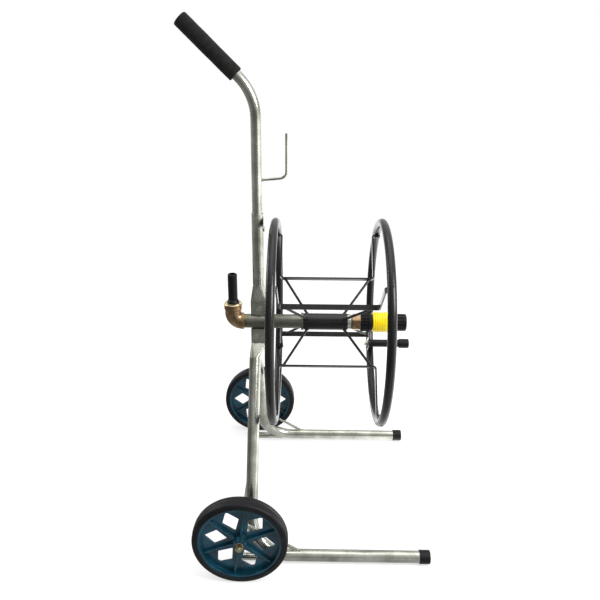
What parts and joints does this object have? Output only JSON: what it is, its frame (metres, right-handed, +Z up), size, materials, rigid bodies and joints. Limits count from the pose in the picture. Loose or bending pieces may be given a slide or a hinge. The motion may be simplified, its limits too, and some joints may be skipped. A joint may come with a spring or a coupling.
{
  "type": "garden hose reel cart",
  "caption": "Tubular steel cart on wheels with a wire drum for garden hose, a crank, a brass water inlet, a quick hose connector and a padded handle.",
  "frame": {"origin": "on the ground, under the middle of the cart's length and width", "axes": "+X forward along the legs and the reel axis, +Y to the left, +Z up"},
  "size_m": [0.4538, 0.5436, 0.939],
  "materials": {
    "galvanised_steel": "zinc-plated steel tube, satin with bright streaks",
    "zinc_fasteners": "bright zinc-plated fasteners",
    "black_enamel": "black stove enamel, half gloss",
    "brass": "cast and turned brass, slightly dull",
    "black_plastic": "moulded black plastic",
    "yellow_plastic": "moulded yellow plastic",
    "teal_plastic": "moulded dark teal plastic",
    "tyre": "solid black rubber tyre",
    "foam": "closed-cell foam sleeve",
    "nylon": "plain white nylon bushes",
    "rubber_seal": "black rubber seals"
  },
  "bodies": {
    "frame": {"column_tube": "galvanised_steel", "handle_tube": "galvanised_steel", "handle_grip": "foam", "handle_bolt": "zinc_fasteners", "handle_nut": "zinc_fasteners", "handle_screw": "zinc_fasteners", "hose_hook": "galvanised_steel", "axle_pipe": "galvanised_steel", "upper_lug": "galvanised_steel", "lower_lug": "galvanised_steel", "frame_bolts": "zinc_fasteners", "frame_nuts": "zinc_fasteners", "brass_elbow": "brass", "inlet_tail": "black_plastic", "wheel_axle": "galvanised_steel", "axle_spacers": "zinc_fasteners", "axle_washers": "zinc_fasteners", "axle_nuts": "zinc_fasteners", "rear_stop": "galvanised_steel", "front_collar": "zinc_fasteners", "left_leg_tube": "galvanised_steel", "right_leg_tube": "galvanised_steel", "left_leg_cap": "black_plastic", "right_leg_cap": "black_plastic", "left_heel_bar": "galvanised_steel", "right_heel_bar": "galvanised_steel", "left_axle_stay": "galvanised_steel", "right_axle_stay": "galvanised_steel"},
    "reel": {"reel_core": "black_enamel", "rear_core_bush": "nylon", "front_core_bush": "nylon", "rear_rim": "black_enamel", "front_rim": "black_enamel", "rim_rivets": "black_enamel", "rear_struts": "black_enamel", "front_struts": "black_enamel", "crank_plate": "black_enamel", "crank_pin": "zinc_fasteners", "crank_nut": "zinc_fasteners", "drum_strip_1": "black_enamel", "drum_strip_2": "black_enamel", "drum_strip_3": "black_enamel", "drum_strip_4": "black_enamel"},
    "crank_handle": {"crank_grip": "black_plastic"},
    "connector": {"swivel_nut": "brass", "swivel_seal": "rubber_seal", "tap_adaptor": "black_plastic", "connector_body": "black_plastic", "connector_seal": "rubber_seal", "hose_nut": "black_plastic"},
    "release_sleeve": {"connector_sleeve": "yellow_plastic"},
    "left_wheel": {"left_wheel_disc": "teal_plastic", "left_tyre": "tyre", "left_hub_bush": "nylon"},
    "right_wheel": {"right_wheel_disc": "teal_plastic", "right_tyre": "tyre", "right_hub_bush": "nylon"}
  },
  "joints": [
    {"name": "reel_spin", "type": "hinge", "parent": "frame", "child": "reel", "pos_m": [0, 0, 0.395], "axis": [1, 0, 0], "continuous": true},
    {"name": "crank_grip_spin", "type": "hinge", "parent": "reel", "child": "crank_handle", "pos_m": [0.13073, 0.11763, 0.2963], "axis": [1, 0, 0], "continuous": true},
    {"name": "connector_swivel", "type": "hinge", "parent": "frame", "child": "connector", "pos_m": [0, 0, 0.395], "axis": [1, 0, 0], "continuous": true},
    {"name": "sleeve_slide", "type": "slide", "parent": "connector", "child": "release_sleeve", "axis": [1, 0, 0], "range_m": [0, 0.006], "stiffness_N_per_m": 800, "springref_m": -0.002},
    {"name": "left_wheel_spin", "type": "hinge", "parent": "frame", "child": "left_wheel", "pos_m": [-0.11657, 0.245, 0.084], "axis": [0, 1, 0], "continuous": true},
    {"name": "right_wheel_spin", "type": "hinge", "parent": "frame", "child": "right_wheel", "pos_m": [-0.11657, -0.245, 0.084], "axis": [0, 1, 0], "continuous": true}
  ]
}
